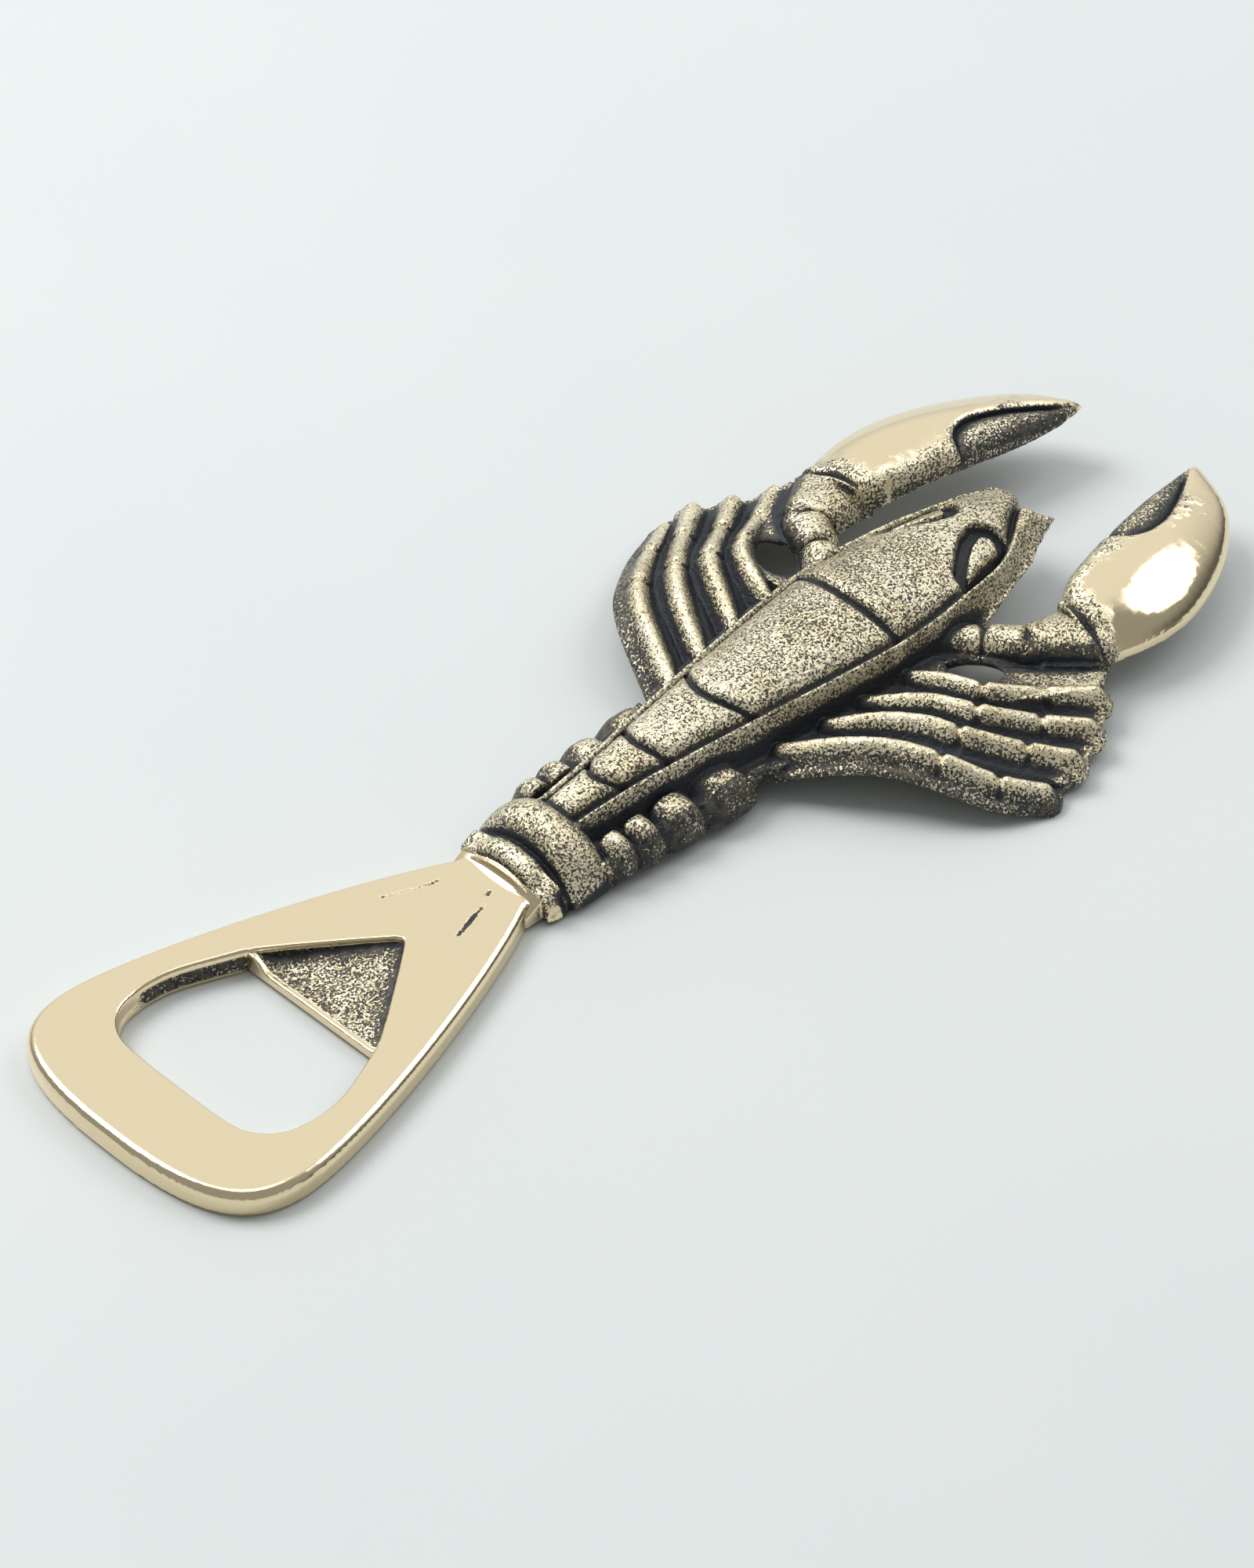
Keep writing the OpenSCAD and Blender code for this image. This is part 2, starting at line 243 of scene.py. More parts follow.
CLAW_HUMP = ((54, 1.4), (62, 2.3), (70, 2.4), (78, 2.0), (85, 1.1), (90, 0.2))
OUTER_LOW = ((54, 4.6), (66, 5.0), (80, 5.6), (90, 7.9))
INNER_LOW = ((54, 4.8), (60, 6.6), (66, 7.5), (80, 7.3), (90, 7.9))
# The finger lies in the claw, sunk along its outline.
FINGER = (
    (67.4, 10.4), (68.2, 13.4), (69.6, 15.6), (72.5, 16.7),
    (76.8, 16.1), (82.6, 13.4), (87.4, 10.4), (89.6, 8.2),
)
FINGER_DIP = 1.5
# The claw's edges are rolled over.
CLAW_EDGE_DROP = 0.9
CLAW_EDGE_REACH = 0.6

# Seams: width and depth of the groove, rise of the part beyond it, and how far that reaches.
PLATE_SEAM = (0.55, 0.8, 0.6, 3.5)
LEG_SEAM = (0.5, 0.7, 0.15, 2.0)
ARM_SEAM = (0.55, 0.9, 0.3, 2.0)

# The filed skirt between the plate and the small bead.
SKIRT_X = NECK_X + 0.3
SKIRT_END = SKIRT_X + 3.2
SKIRT_HALF_W = 6.8
SKIRT_FOOT = 0.4
# Beads across the neck: start and end, height, foot, half width and how far the ends drop.
BEADS = (
    (SKIRT_X + 1.6, TAIL_X + 0.4, 6.5, 0.4, 8.4, 1.7),
    (TAIL_X + 0.1, BODY_X + 0.2, 9.2, 0.8, 9.3, 3.7),
)

# ------------------------------------------------------------------ small maths
HASH_I, HASH_J, HASH_SEED, HASH_MIX = 374761393, 668265263, 2147483647, 1274126177
WORD = 0xFFFFFFFF
HALF_WORD = 0xFFFF


def smooth_line(points, rounds=2):
    """Chaikin's corner cutting, which keeps the ends: a smooth polyline through a few points."""
    p = np.array(points, float)
    for _ in range(rounds):
        a, b = p[:-1], p[1:]
        cut = np.empty((2 * len(a), p.shape[1]))
        cut[0::2] = 0.75 * a + 0.25 * b
        cut[1::2] = 0.25 * a + 0.75 * b
        p = np.vstack([p[:1], cut[1:-1], p[-1:]])
    return p


def bezier(a, b, c, d, n=16):
    """Points along a cubic curve from a to d, with b and c as its handles."""
    t = np.linspace(0, 1, n + 1)[:, None]
    a, b, c, d = (np.array(p, float) for p in (a, b, c, d))
    return (1 - t) ** 3 * a + 3 * (1 - t) ** 2 * t * b + 3 * (1 - t) * t**2 * c + t**3 * d


def profile(stations, x):
    """A smooth value along x through the stations."""
    line = smooth_line(stations)
    return np.interp(x, line[:, 0], line[:, 1])


def step(a, b, v):
    """Smooth step from 0 at a to 1 at b."""
    t = np.clip((v - a) / (b - a), 0, 1)
    return t * t * (3 - 2 * t)


def bell(d, width):
    """1 at 0, falling away on both sides."""
    return np.exp(-((d / width) ** 2))


def fade(d, reach):
    """1 up to 0, fading away beyond it."""
    return np.exp(-np.maximum(d, 0) / reach)


def rounded(d, r):
    """How far an edge of that radius has fallen at distance d in from it."""
    return r - np.sqrt(np.maximum(0, r**2 - np.clip(r - d, 0, r) ** 2))


def to_line(x, y, points):
    """Distance to a polyline, place along it from 0 to 1 per point, and side (+ is left)."""
    p = np.array(points, float)
    best = np.full(x.shape, 1e9)
    along = np.zeros(x.shape)
    side = np.zeros(x.shape)
    for i in range(len(p) - 1):
        ax, ay = p[i, :2]
        dx, dy = p[i + 1, :2] - p[i, :2]
        if dx == 0 and dy == 0:
            continue
        t = np.clip(((x - ax) * dx + (y - ay) * dy) / (dx * dx + dy * dy), 0, 1)
        ex, ey = x - ax - t * dx, y - ay - t * dy
        d = np.hypot(ex, ey)
        near = d < best
        best = np.where(near, d, best)
        along = np.where(near, i + t, along)
        side = np.where(near, np.sign(dx * ey - dy * ex), side)
    return best, along, side


def inside(x, y, outline):
    """Signed distance to a closed outline, positive inside."""
    p = np.array(outline, float)
    q = np.roll(p, -1, 0)
    d, _, _ = to_line(x, y, np.vstack([p, p[:1]]))
    odd = np.zeros(x.shape, bool)
    for (ax, ay), (bx, by) in zip(p[:, :2], q[:, :2]):
        if ay != by:
            odd ^= ((ay > y) != (by > y)) & (x < (bx - ax) * (y - ay) / (by - ay) + ax)
    return np.where(odd, d, -d)


def ridge(x, y, line):
    """Distance to a line, the line's further values beside each place, and the arc length there."""
    p = np.array(line, float)
    d, t, _ = to_line(x, y, p)
    lengths = np.hypot(*np.diff(p[:, :2], axis=0).T)
    arc = np.concatenate([[0], np.cumsum(lengths)])
    stations = np.arange(len(p))
    values = [np.interp(t, stations, p[:, k]) for k in range(2, p.shape[1])]
    return d, values, np.interp(t, stations, arc)


def past_end(line, by):
    """The point that far beyond a line's end, straight on."""
    way = line[-1, :2] - line[-2, :2]
    return line[-1, :2] + by * way / np.hypot(*way)


def blur(a, radius, cell):
    """Three box blurs, close to a gaussian of about that radius."""
    n = max(1, int(round(radius / cell)))
    for axis in (0, 1):
        for _ in range(3):
            pad = [(0, 0), (0, 0)]
            pad[axis] = (n + 1, n)
            c = np.cumsum(np.pad(a, pad, mode="edge"), axis=axis)
            hi = np.take(c, range(2 * n + 1, c.shape[axis]), axis=axis)
            lo = np.take(c, range(0, c.shape[axis] - 2 * n - 1), axis=axis)
            a = (hi - lo) / (2 * n + 1)
    return a


def hashed(i, j, seed):
    """Repeatable random numbers from 0 to 1 on a grid of whole numbers."""
    h = (i.astype(np.int64) * HASH_I + j.astype(np.int64) * HASH_J + seed * HASH_SEED) & WORD
    h = ((h ^ (h >> 13)) * HASH_MIX) & WORD
    return ((h ^ (h >> 16)) & HALF_WORD) / HALF_WORD


def grain(x, y, size, seed):
    """Smooth value noise from -1 to 1 with lumps of about that size."""
    u, v = x / size, y / size
    i, j = np.floor(u), np.floor(v)
    fu, fv = u - i, v - j
    fu, fv = fu * fu * (3 - 2 * fu), fv * fv * (3 - 2 * fv)
    a = hashed(i, j, seed) * (1 - fu) + hashed(i + 1, j, seed) * fu
    b = hashed(i, j + 1, seed) * (1 - fu) + hashed(i + 1, j + 1, seed) * fu
    return 2 * (a * (1 - fv) + b * fv) - 1


def seam(u, width, depth, rise, reach):
    """A groove at u = 0 with the part beyond it standing a little prouder."""
    lift = np.where(u > 0, rise * np.exp(-u / reach) * (1 - np.exp(-u / (0.2 * reach))), 0)
    return lift - depth * bell(u, width)


# ------------------------------------------------------------------ relief of one side of the body
# Height of a map where there is no casting.
NOWHERE = -50.0
# How far a shape's heights hold beyond its outline.
EDGE_REACH = 0.8
BODY_START, BODY_END, BODY_REACH = -31.0, 92.0, 39.0
CROP_V = -30

# Height of the casting's sandy surface.
FINE_SAND, COARSE_SAND = 0.04, 0.03
# The claws are buffed clear between these distances from the middle and from the crease, and
# at their tips between these places along x.
CLEAR_V, CLEAR_FROM_CREASE, CLEAR_TIP_X = (13.8, 18.0), (1.2, 4.0), (80, 85)
# Patina: how much the hollows and slopes hold, and how much is rubbed off the crests.
PATINA_RANGE = (-0.3, 1)
IN_HOLLOWS, IN_DEEPS, BESIDE_HOLLOWS, ON_SLOPES, OFF_CRESTS = 0.55, 0.5, 0.3, 0.12, 0.12
# Stains on top of that, and how much is rubbed off the legs' ridges.
AT_HOLE, IN_FINGER, BESIDE_ARM, ON_FLANK, BEHIND_KNOB, OFF_RIDGES = 0.95, 0.85, 0.35, 0.26, 0.28, 0.16


class Relief:
    """Top, underside and outline of one side of the casting, over v from 0 at its middle.

    The functions below add the features to it, and keep on it the distances that the pieces'
    cells and the patina are worked out from.
    """

    def __init__(self, side):
        self.side = side
        rows, cols = np.arange(BODY_START, BODY_END, CELL), np.arange(0, BODY_REACH, CELL)
        self.x, self.v = np.meshgrid(rows, cols, indexing="ij")
        self.top = self.even(NOWHERE)
        self.low = self.even(-NOWHERE)
        self.outline = self.even(NOWHERE)

    def even(self, value):
        """A map with one value all over."""
        return np.full(self.x.shape, value)

    def add(self, outline, top, low):
        """Joins a shape to the casting where its outline is positive."""
        near = outline > -EDGE_REACH
        self.top = np.where(near, np.maximum(self.top, top), self.top)
        self.low = np.where(near, np.minimum(self.low, low), self.low)
        self.outline = np.maximum(self.outline, outline)


def closed(line):
    """A line over the plan from the tail to the nose, closed beyond the middle."""
    return np.vstack([[(line[0][0], CROP_V)], line, [(line[-1][0], CROP_V)]])


def add_trunk(r):
    """Shell with its plates and eye, margin, channel and prong."""
    x, v = r.x, r.v
    r.shield_d = inside(x, v, closed(smooth_line(SHIELD_W[r.side])))
    shield_w = np.maximum(profile(SHIELD_W[r.side], x), 0.01)
    r.foot_w = profile(FOOT_W, x)
    edge_z = profile(EDGE_Z, x)
    across = np.clip(v / shield_w, 0, 1)
    shell = edge_z + (profile(CREST_Z, x) - edge_z) * (1 - across**SHELL_ARCH)

    bank = np.clip((v - shield_w) / np.maximum(r.foot_w - shield_w, 1.0), 0, 1)
    down = (1 - np.cos(math.pi * np.clip((bank - MARGIN_FLAT) / (1 - MARGIN_FLAT), 0, 1))) / 2
    rim_z = edge_z + MARGIN_PROUD
    margin = rim_z - (rim_z - profile(CHANNEL_Z, x)) * down
    on_shell = step(-0.2, 0.2, r.shield_d)
    top = shell * on_shell + margin * (1 - on_shell) - SHELL_GROOVE * bell(r.shield_d, 0.5)

    r.plate_u = [x - (x_end - bow * (1 - across**2)) for x_end, bow in PLATE_ENDS]
    for u in r.plate_u:
        top += on_shell * seam(u, *PLATE_SEAM)

    r.eye_d, (eye_r,), _ = ridge(x, v, EYE)
    r.eye_d -= eye_r
    off_eye = step(-0.3, 0.4, r.eye_d)
    moat = off_eye * (1 - step(MOAT_W - 0.7, MOAT_W, r.eye_d)) * step(-0.3, 0.4, r.shield_d)
    top -= MOAT_DEPTH * moat + EYE_SINK * (1 - off_eye)

    r.trunk_d = inside(x, v, closed(smooth_line(TRUNK_W + PRONG[r.side])))
    nose = step(60, 66, x) * np.maximum(0, 1 - np.maximum(r.trunk_d, 0) / NOSE_ROUND) ** 2
    r.add(r.trunk_d, top - NOSE_ROUND * nose, profile(UNDER_Z, x) + NOSE_LIFT * nose)


def add_knobs(r):
    """Rounded knobs beside the tail, each hollow on its rear face."""
    r.knob_d = []
    for x_mid, half, reach in KNOBS:
        along = r.x - x_mid
        du = np.clip(along / half, -1, 1)
        dv = np.clip((r.v - KNOB_ROOT) / (reach - KNOB_ROOT), 0, 1)
        dome = np.sqrt(np.maximum(0, 1 - dv**2.4))
        top = KNOB_LOW + (KNOB_Z - KNOB_LOW) * dome - KNOB_ROUND * np.abs(du) ** 3
        face = KNOB_HOLLOW * step(0.15, 0.75, -along / half) * step(0.0, 0.3, dv)
        top -= face * (1 - np.abs(du) ** 6)
        d = np.minimum(half + 0.15 - np.abs(along), reach - 0.9 * du**4 - r.v)
        d = np.minimum(d, r.v - KNOB_START)
        r.knob_d.append(d)
        r.add(d, np.maximum(top, KNOB_LEAST_Z), r.even(KNOB_UNDER_Z))


def add_legs(r):
    """Four jointed legs side by side on their web."""
    r.legs = []
    lines = [smooth_line(line) for line in LEGS[r.side]]
    for line, smooth in zip(np.array(LEGS[r.side]), lines):
        d, (z,), arc = ridge(r.x, r.v, smooth)
        on_top = 1 - step(1.4, 2.6, d)
        for k in LEG_JOINTS:
            joint = ridge(line[k:k + 1, 0], line[k:k + 1, 1], smooth)[2][0]
            z = z + seam(arc - joint, *LEG_SEAM) * on_top
        drop = VALLEY_DROP * (1 - np.cos(math.pi * np.minimum(d, VALLEY_W) / VALLEY_W)) / 2
        top = z - drop - 0.8 * np.maximum(0, d - VALLEY_W)
        outline = LEG_W - 0.7 * step(0.75, 1, arc / arc.max()) - d
        r.add(outline, top, np.maximum(0.05, z - LEG_DEPTH))
        r.legs.append((d, z))
    for k in range(len(lines) - 1):
        line, next_line = lines[k], lines[k + 1]
        tips = [past_end(line, WEB_PAST_TIP), past_end(next_line, WEB_PAST_TIP)]
        web = np.vstack([line[:, :2], tips, next_line[::-1, :2]])
        (d, z), (next_d, next_z) = r.legs[k], r.legs[k + 1]
        top = (z * next_d + next_z * d) / np.maximum(d + next_d, 0.01) - VALLEY_DROP
        r.add(inside(r.x, r.v, web), top, np.maximum(0.05, top - WEB_T))


def add_arm(r):
    """Jointed arm, and the web between it and the first leg."""
    line = np.array(ARM[r.side])
    r.arm_d, (r.arm_w, z), arc = ridge(r.x, r.v, line)
    r.arm_runs = [arc - joint for joint in ridge(line[:, 0], line[:, 1], line)[2]]
    bulge = np.sqrt(np.maximum(0, 1 - np.clip(r.arm_d / r.arm_w, 0, 1) ** 2))
    top = z - ARM_ROUND * (1 - bulge)
    top += seam(r.arm_runs[1], *ARM_SEAM) + seam(r.arm_runs[2], *ARM_SEAM)
    claw_start = CREASE[r.side][0][0] + 0.3
    r.add(np.minimum(r.arm_w - r.arm_d, claw_start - r.x), top, z - ARM_DEPTH)
    web = smooth_line(ARM_WEB + ARM_WEB[:1], 1)[:-1]
    web_z = profile(ARM_WEB_Z, r.x) + np.minimum(0.5 * to_line(r.x, r.v, ARM_VALLEY)[0], 0.4)
    r.add(inside(r.x, r.v, web), web_z, web_z - ARM_WEB_T)


def add_claw(r):
    """A hump between a low outer edge and a high inner one, with the finger set into it."""
    x, v = r.x, r.v
    outer, inner = smooth_line(CLAW_OUTER[r.side]), smooth_line(CLAW_INNER[r.side])
    r.claw_d = inside(x, v, np.vstack([outer, inner[::-1][1:]]))
    outer_d, inner_d = to_line(x, v, outer)[0], to_line(x, v, inner)[0]
    over = outer_d / np.maximum(outer_d + inner_d, 0.01)
    outer_z, inner_z = profile(OUTER_Z, x), profile(INNER_Z, x)
    top = outer_z + (inner_z - outer_z) * over + profile(CLAW_HUMP, x) * 4 * over * (1 - over)
    rolled = [CLAW_EDGE_DROP * fade(d, CLAW_EDGE_REACH) for d in (outer_d, inner_d)]
    top -= rolled[0] + rolled[1]

    r.finger_d = inside(x, v, smooth_line(FINGER))
    dip = FINGER_DIP * fade(r.finger_d, 1.8) * step(0, 0.35, r.finger_d)
    top -= dip * (1 - step(84, 89, x))
    r.add(r.claw_d, top, profile(OUTER_LOW, x) * (1 - over) + profile(INNER_LOW, x) * over)

    crease_d, _, crease_side = to_line(x, v, CREASE[r.side])
    r.crease_u = crease_d * -crease_side
    crease = 0.9 * bell(r.crease_u, 0.5) * (v > CREASE_V)
    crease += 0.45 * bell(r.finger_d, 0.4) * (r.claw_d > 0) * (1 - step(85, 89, x))
    r.top -= crease


def cut_hole(r):
    """The oval hole between arm and first leg, with its rounded rim."""
    hole_x, hole_v, turn, long_r, short_r = HOLE[r.side]
    c, s = math.cos(math.radians(turn)), math.sin(math.radians(turn))
    along = (r.x - hole_x) * c + (r.v - hole_v) * s
    aside = (r.v - hole_v) * c - (r.x - hole_x) * s
    r.hole_d = (np.hypot(along / long_r, aside / short_r) - 1) * (long_r + short_r) / 2
    r.top -= 1.2 * fade(r.hole_d, 0.7)
    r.low += 1.4 * bell(np.maximum(r.hole_d, 0), 1.5)
    r.outline = np.minimum(r.outline, r.hole_d)


def add_collars(r):
    """Two beads across the neck, and the filed skirt between the small one and the plate."""
    for start, end, crest, foot, half, bulge in BEADS:
        rise = crest - foot
        radius = (half**2 + rise**2) / (2 * rise)
        top = crest - radius + np.sqrt(np.maximum(0.01, radius**2 - r.v**2))
        u = np.clip((r.x - (start + end) / 2) / ((end - start) / 2), -1, 1)
        flatter = 1 - 0.45 * np.clip(r.v / half, 0, 1) ** 2
        top -= bulge * flatter * (1 - np.sqrt(np.maximum(0, 1 - u**2)))
        ends = np.minimum(np.minimum(r.x - start, end - r.x), half - 0.5 * u**2 - r.v)
        r.add(np.minimum(ends, top - foot), top, r.even(foot))
    ends = np.minimum(r.x - NECK_X + 0.8, SKIRT_END - r.x)
    top = PLATE_T + 0.55 * (r.x - SKIRT_X - 0.025 * r.v**2) - 0.5 * (r.v / 8.0) ** 4
    r.add(np.minimum(ends, SKIRT_HALF_W - r.v), top, r.even(SKIRT_FOOT))


def claims_of(r):
    """Each piece's name, the map that is negative in its cell, and the height where it starts."""
    x, v, side = r.x, r.v, r.side
    ledge, low = r.even(LEDGE), r.even(NOWHERE)
    claims = [("neck_collar", x - TAIL_X, low), ("tail_collar", x - BODY_X, low)]
    claims.append((f"{side}_eye", r.eye_d, ledge + EYE_ABOVE))

    names = ("tail_plate_1", "tail_plate_2", "tail_plate_3", "thorax_plate", "head_shield")
    starts = (BODY_X - x, *(-u for u in r.plate_u))
    ends = (*r.plate_u, x - NOSE_X)
    for name, start, end in zip(names, starts, ends):
        claims.append((name, np.maximum(np.maximum(start, end), -r.shield_d), ledge))
    claims.append((f"{side}_prong", np.maximum(PRONG_X - x, v - 9), low))
    claims.append((f"{side}_margin", np.maximum(v - r.foot_w, x - PRONG_X), ledge))
    claims += [(f"{side}_knob_{n + 1}", -d, low) for n, d in enumerate(r.knob_d)]

    on_claw = np.maximum(-r.crease_u, 8 - v)
    claims.append((f"{side}_finger", np.maximum(-r.finger_d, on_claw), low))
    claims.append((f"{side}_palm", on_claw, low))

    off_body = np.maximum(r.nearer_arm, r.trunk_d)
    on_arm = np.maximum(off_body, 36 - x)
    elbow, wrist = r.arm_runs[1], r.arm_runs[2]
    claims.append((f"{side}_upper_arm", np.maximum(on_arm, elbow), low))
    claims.append((f"{side}_forearm", np.maximum(np.maximum(on_arm, -elbow), wrist), low))
    claims.append((f"{side}_wrist", np.maximum(on_arm, -wrist), low))

    for n, (d, z) in enumerate(r.legs):
        core = np.maximum(d - LEG_CORE, r.trunk_d)
        claims.append((f"{side}_leg_{n + 1}", core, z - VALLEY_DROP - 0.1))
    claims.append((f"{side}_leg_web", np.maximum(r.trunk_d, 9.5 - v), low))
    claims.append(("trunk", low, low))
    return claims


def buffed(r):
    """1 where a wheel has cleared the casting: at the neck and on the claws."""
    x, v = r.x, r.v
    y = v if r.side == "left" else -v
    filed = 1 - step(NECK_X + 1.5, NECK_X + 2.1, x)
    filed = np.maximum(filed, step(7.2, 8.0, v) * (1 - step(TAIL_X - 1.6, TAIL_X - 0.9, x)))
    clear = step(*CLEAR_V, v + 1.3 * grain(x, y, size=0.9, seed=5))
    clear *= step(*CLEAR_FROM_CREASE, r.crease_u + 0.8 * grain(x, y, size=0.9, seed=6))
    off_finger = step(-0.1, 0.5, -r.finger_d)
    clear = np.maximum(clear * off_finger, step(*CLEAR_TIP_X, x) * off_finger)
    return np.maximum(filed, clear * (r.claw_d > -1))


def stained(r):
    """Patina beyond what the hollows hold: around the hole, in the finger, beside arm and knobs."""
    x, v = r.x, r.v
    stain = AT_HOLE * fade(r.hole_d, 0.8)
    in_finger = (r.finger_d > 0) * fade(r.finger_d, 1.7)
    stain += IN_FINGER * in_finger * (r.claw_d > 0) * (1 - step(84, 88, x))
    behind_arm = v > 14 + 0.62 * (x - 40)
    arm_edge = step(0.2, 1.4, r.arm_d - 0.55 * r.arm_w)
    stain += BESIDE_ARM * arm_edge * (r.nearer_arm < 0.6) * behind_arm * (x < 54)

    last_d = r.legs[-1][0]
    beyond_last = to_line(x, v, LEGS[r.side][-1])[2] > 0
    flank = (last_d < r.legs[-2][0]) * beyond_last * (v > LEG_ROOT_V)
    stain += ON_FLANK * flank * step(0.7, 1.8, last_d)
    ridge_d = np.min([d for d, _ in r.legs], axis=0)
    stain -= OFF_RIDGES * (1 - step(0.4, 1.4, ridge_d)) * (v > LEG_ROOT_V)
    for (x_mid, half, _), d in zip(KNOBS, r.knob_d):
        rear = step(0.1, 0.8, -(x - x_mid) / half)
        stain += BEHIND_KNOB * rear * (d > 0) * step(7.4, 8.4, v)
    return stain


def half_body(side):
    """The relief of one side with its buffing and stains, and the claims of its pieces."""
    r = Relief(side)
    for add_feature in (add_trunk, add_knobs, add_legs, add_arm, add_claw, cut_hole, add_collars):
        add_feature(r)
    to_leg = np.minimum(r.legs[0][0], r.legs[1][0]) - LEG_W
    r.nearer_arm = ((r.arm_d - r.arm_w) - to_leg) / 2
    r.buff = buffed(r)
    r.stain = stained(r)
    return r, claims_of(r)


class Plan:
    """A rectangle of the plan across the X axis, sampled every CELL, with maps over it."""

    def __init__(self, x, y):
        self.x, self.y = x, y

    def at(self, values, px, py):
        """Values read off a map at any points, between its samples."""
        u = np.clip((px - self.x[0, 0]) / CELL, 0, values.shape[0] - 1.001)
        w = np.clip((py - self.y[0, 0]) / CELL, 0, values.shape[1] - 1.001)
        i, j = u.astype(int), w.astype(int)
        fu, fw = u - i, w - j
        near = values[i, j] * (1 - fu) + values[i + 1, j] * fu
        far = values[i, j + 1] * (1 - fu) + values[i + 1, j + 1] * fu
        return near * (1 - fw) + far * fw


def both(right, left):
    """One map across the body from its two halves."""
    return np.concatenate([right[:, :0:-1], left], axis=1)


left, left_claims = half_body("left")
right, right_claims = half_body("right")
body = Plan(both(right.x, left.x), both(-right.v, left.v))
for name in ("top", "low", "outline", "buff", "stain"):
    setattr(body, name, both(getattr(right, name), getattr(left, name)))


def weather(body):
    """The sandy surface of the casting, and the patina that its hollows and slopes hold."""
    antique = 1 - body.buff
    fine = grain(body.x, body.y, size=0.5, seed=1)
    coarse = grain(body.x, body.y, size=1.1, seed=2)
    body.top += antique * (FINE_SAND * fine + COARSE_SAND * coarse)
    solid_top = np.where(body.outline > -0.3, body.top, 0)
    sunk = blur(solid_top, 1.9, CELL) - solid_top
    hollow = step(0.02, 0.30, blur(solid_top, 0.8, CELL) - solid_top)
    halo = step(-0.02, 0.35, blur(solid_top, 1.3, CELL) - solid_top)
    slope = np.hypot(*np.gradient(blur(solid_top, 0.4, CELL), CELL))
    patina = IN_HOLLOWS * hollow + IN_DEEPS * step(0.10, 0.75, sunk) + BESIDE_HOLLOWS * halo
    patina = patina + ON_SLOPES * step(0.2, 1.2, slope) - OFF_CRESTS * step(0.12, 0.7, -sunk)
    body.patina = np.clip(patina + body.stain, *PATINA_RANGE) * (antique * 0.9 + 0.1)


weather(body)

# ------------------------------------------------------------------ cutting the casting into pieces
# Beyond its cell a piece runs on this far under its neighbours, sinking as it goes.
OVERLAP = 0.4
SINK = 0.15
# Patina that steep walls hold on top of the rest, and that of the underside.
WALL_PATINA = 0.22
UNDER_PATINA = 0.2

# A piece owns the casting where its claim is negative and above its floor; earlier claims win.
CLAIMS = []
for (name, l_where, l_above), (r_name, r_where, r_above) in zip(left_claims, right_claims):
    if name == r_name:
        CLAIMS.append((name, both(r_where, l_where), both(r_above, l_above)))
    else:
        CLAIMS.append((name, both(right.v, l_where), both(l_above, l_above)))
        CLAIMS.append((r_name, both(r_where, left.v), both(r_above, r_above)))


def closed_mesh(name, field, corner):
    """The zero surface of a field, negative inside, sampled every VOXEL from a corner."""
    grid = openvdb.FloatGrid(1.0)
    grid.copyFromArray(np.ascontiguousarray(np.clip(field, -1, 1), np.float32))
    points, tris, quads = grid.convertToPolygons(0.0, 0.0)
    points = points * VOXEL + np.array(corner)
    mesh = bpy.data.meshes.new(name)
    mesh.from_pydata((points * MM).tolist(), [], quads.tolist() + tris.tolist())
    mesh.shade_smooth()
    return mesh, points


def paint(mesh, **maps):
    """Values per point, which the material reads by name."""
    for name, values in maps.items():
        layer = mesh.attributes.new(name, "FLOAT", "POINT")
        layer.data.foreach_set("value", np.ascontiguousarray(values, np.float32))


def facing_up(mesh):
    """1 on points that face up or aside, 0 on the underside."""
    normals = np.empty(3 * len(mesh.vertices), np.float32)
    mesh.vertex_normals.foreach_get("vector", normals)
    return 1 - step(0.35, 0.75, -normals[2::3])


def settle(node, mesh):
    """Puts a finished mesh in the scene in place of its CAD node."""
    mesh.materials.append(FINISH[SLOTS[node]])
    piece = bpy.data.objects.new(mesh.name, mesh)
    bpy.context.collection.objects.link(piece)
    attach(piece, "root")
    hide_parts(node)


def steepness(height):
    """How much longer the distance along z is than the distance to the surface."""
    gx, gy = np.gradient(height, CELL)
    return np.sqrt(1 + np.minimum(gx**2 + gy**2, 15))


def cube(values, pick=COARSE):
    """A map thinned to the voxels, ready to be combined with heights."""
    return values[pick][:, :, None]


